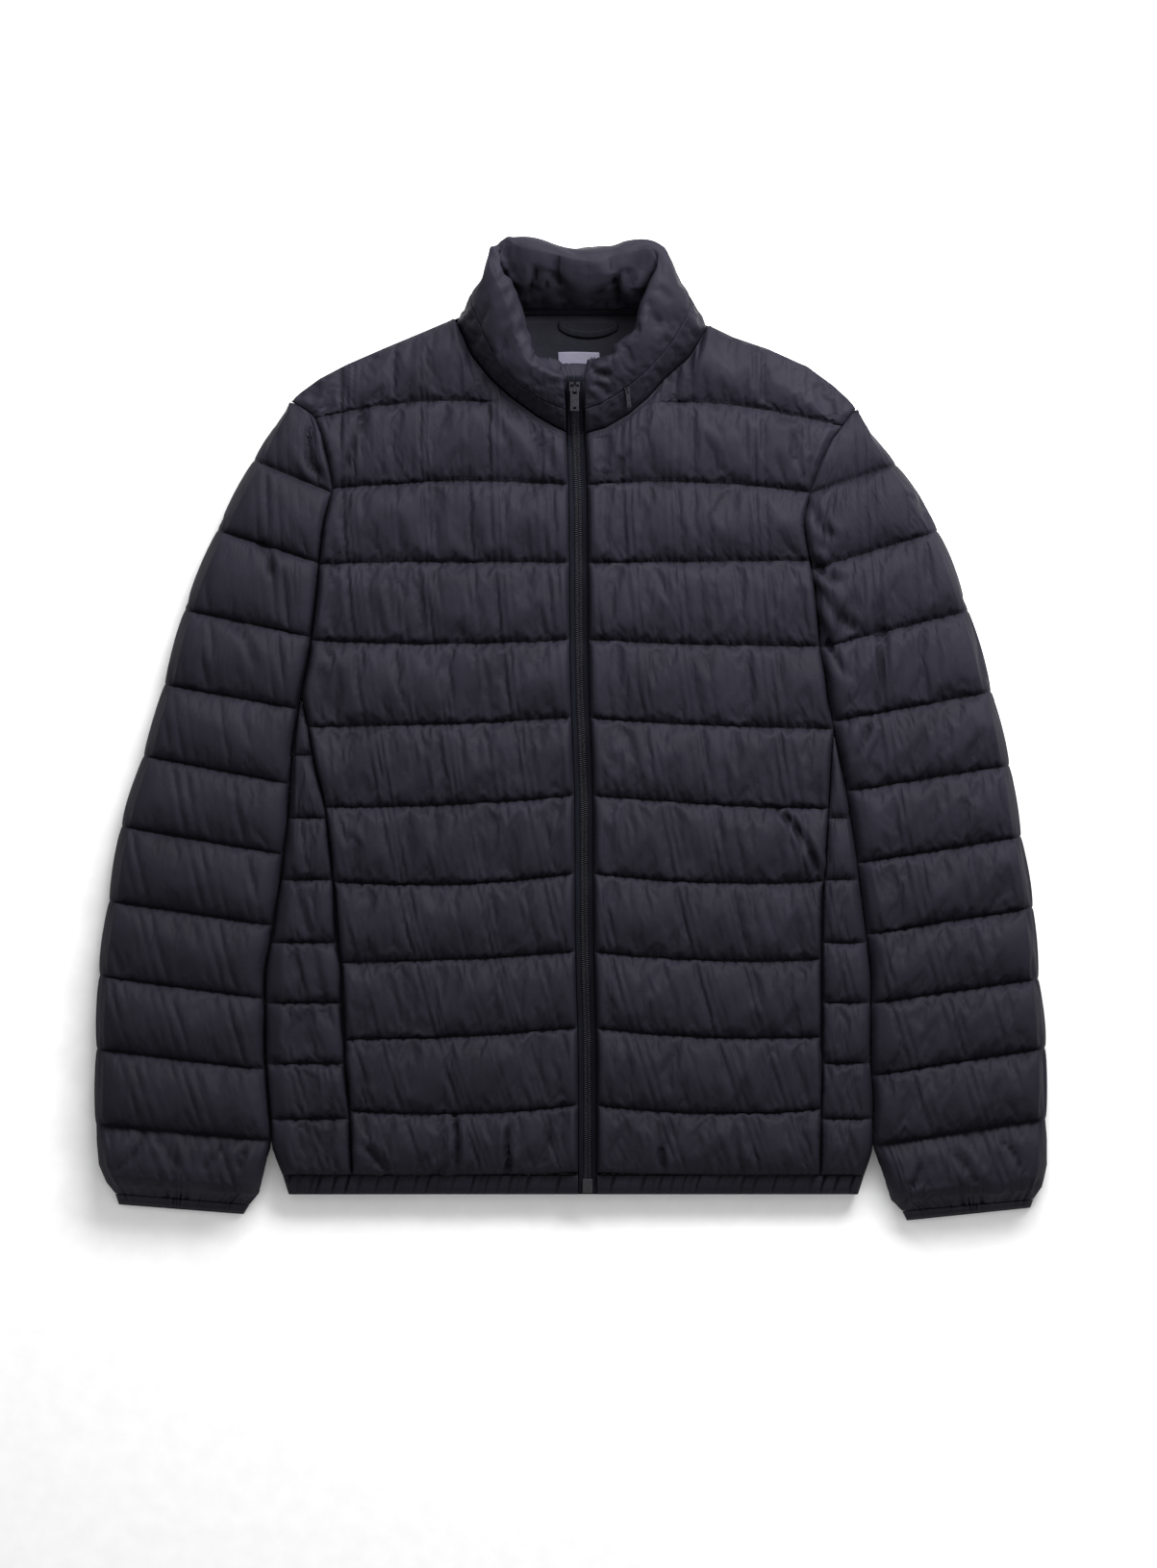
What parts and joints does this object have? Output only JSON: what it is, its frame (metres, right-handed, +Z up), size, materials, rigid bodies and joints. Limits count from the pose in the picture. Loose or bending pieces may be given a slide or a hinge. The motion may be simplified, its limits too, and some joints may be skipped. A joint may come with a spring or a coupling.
{
  "type": "quilted jacket",
  "caption": "Light quilted jacket with a stand-up collar that holds a stowed hood, zipped to the top and laid flat on its back with the sleeves down beside the body.",
  "frame": {"origin": "on the flat underside of the back, under the middle of the front zip, at about half the jacket's height", "axes": "+X towards the wearer's left, +Y towards the collar, +Z up out of the front, the floor at z = 0"},
  "size_m": [0.7605, 0.7787, 0.0693],
  "materials": {
    "back": "soft shell cloth with a faint sheen",
    "back_neck_lining": "plain lining cloth",
    "collar_band": "soft shell cloth with a faint sheen",
    "collar_roll": "soft shell cloth with a faint sheen",
    "cuff_left": "soft shell cloth with a faint sheen",
    "cuff_right": "soft shell cloth with a faint sheen",
    "front_left": "soft shell cloth with a faint sheen",
    "front_right": "soft shell cloth with a faint sheen",
    "hanger_loop": "plain lining cloth",
    "hem_casing": "soft shell cloth with a faint sheen",
    "hood_zip_pull": "dark satin",
    "hood_zip_slider": "dark satin",
    "neck_label": "woven, blank",
    "side_left": "soft shell cloth with a faint sheen",
    "side_right": "soft shell cloth with a faint sheen",
    "sleeve_left": "soft shell cloth with a faint sheen",
    "sleeve_right": "soft shell cloth with a faint sheen",
    "zip_box": "moulded, satin",
    "zip_pull": "dark satin",
    "zip_slider": "dark satin",
    "zip_tape_left": "woven tape",
    "zip_tape_right": "woven tape"
  },
  "bodies": {
    "jacket": {"back": "back", "back_neck_lining": "back_neck_lining", "collar_band": "collar_band", "collar_roll": "collar_roll", "cuff_left": "cuff_left", "cuff_right": "cuff_right", "front_left": "front_left", "front_right": "front_right", "hanger_loop": "hanger_loop", "hem_casing": "hem_casing", "hood_zip_slider": "hood_zip_slider", "neck_label": "neck_label", "side_left": "side_left", "side_right": "side_right", "sleeve_left": "sleeve_left", "sleeve_right": "sleeve_right", "zip_box": "zip_box", "zip_slider": "zip_slider", "zip_tape_left": "zip_tape_left", "zip_tape_right": "zip_tape_right"},
    "front_zip_pull": {"zip_pull": "zip_pull"},
    "hood_zip_pull_tab": {"hood_zip_pull": "hood_zip_pull"}
  },
  "joints": [
    {"name": "front_zip_pull_hinge", "type": "hinge", "parent": "jacket", "child": "front_zip_pull", "pos_m": [-0.00419, 0.27184, 0.05609], "axis": [-1, 0, 0], "range_deg": [0, 150]},
    {"name": "hood_zip_pull_hinge", "type": "hinge", "parent": "jacket", "child": "hood_zip_pull_tab", "pos_m": [0.03759, 0.27026, 0.04595], "axis": [-0.9183, -0.3145, 0.2406], "range_deg": [0, 120]}
  ]
}
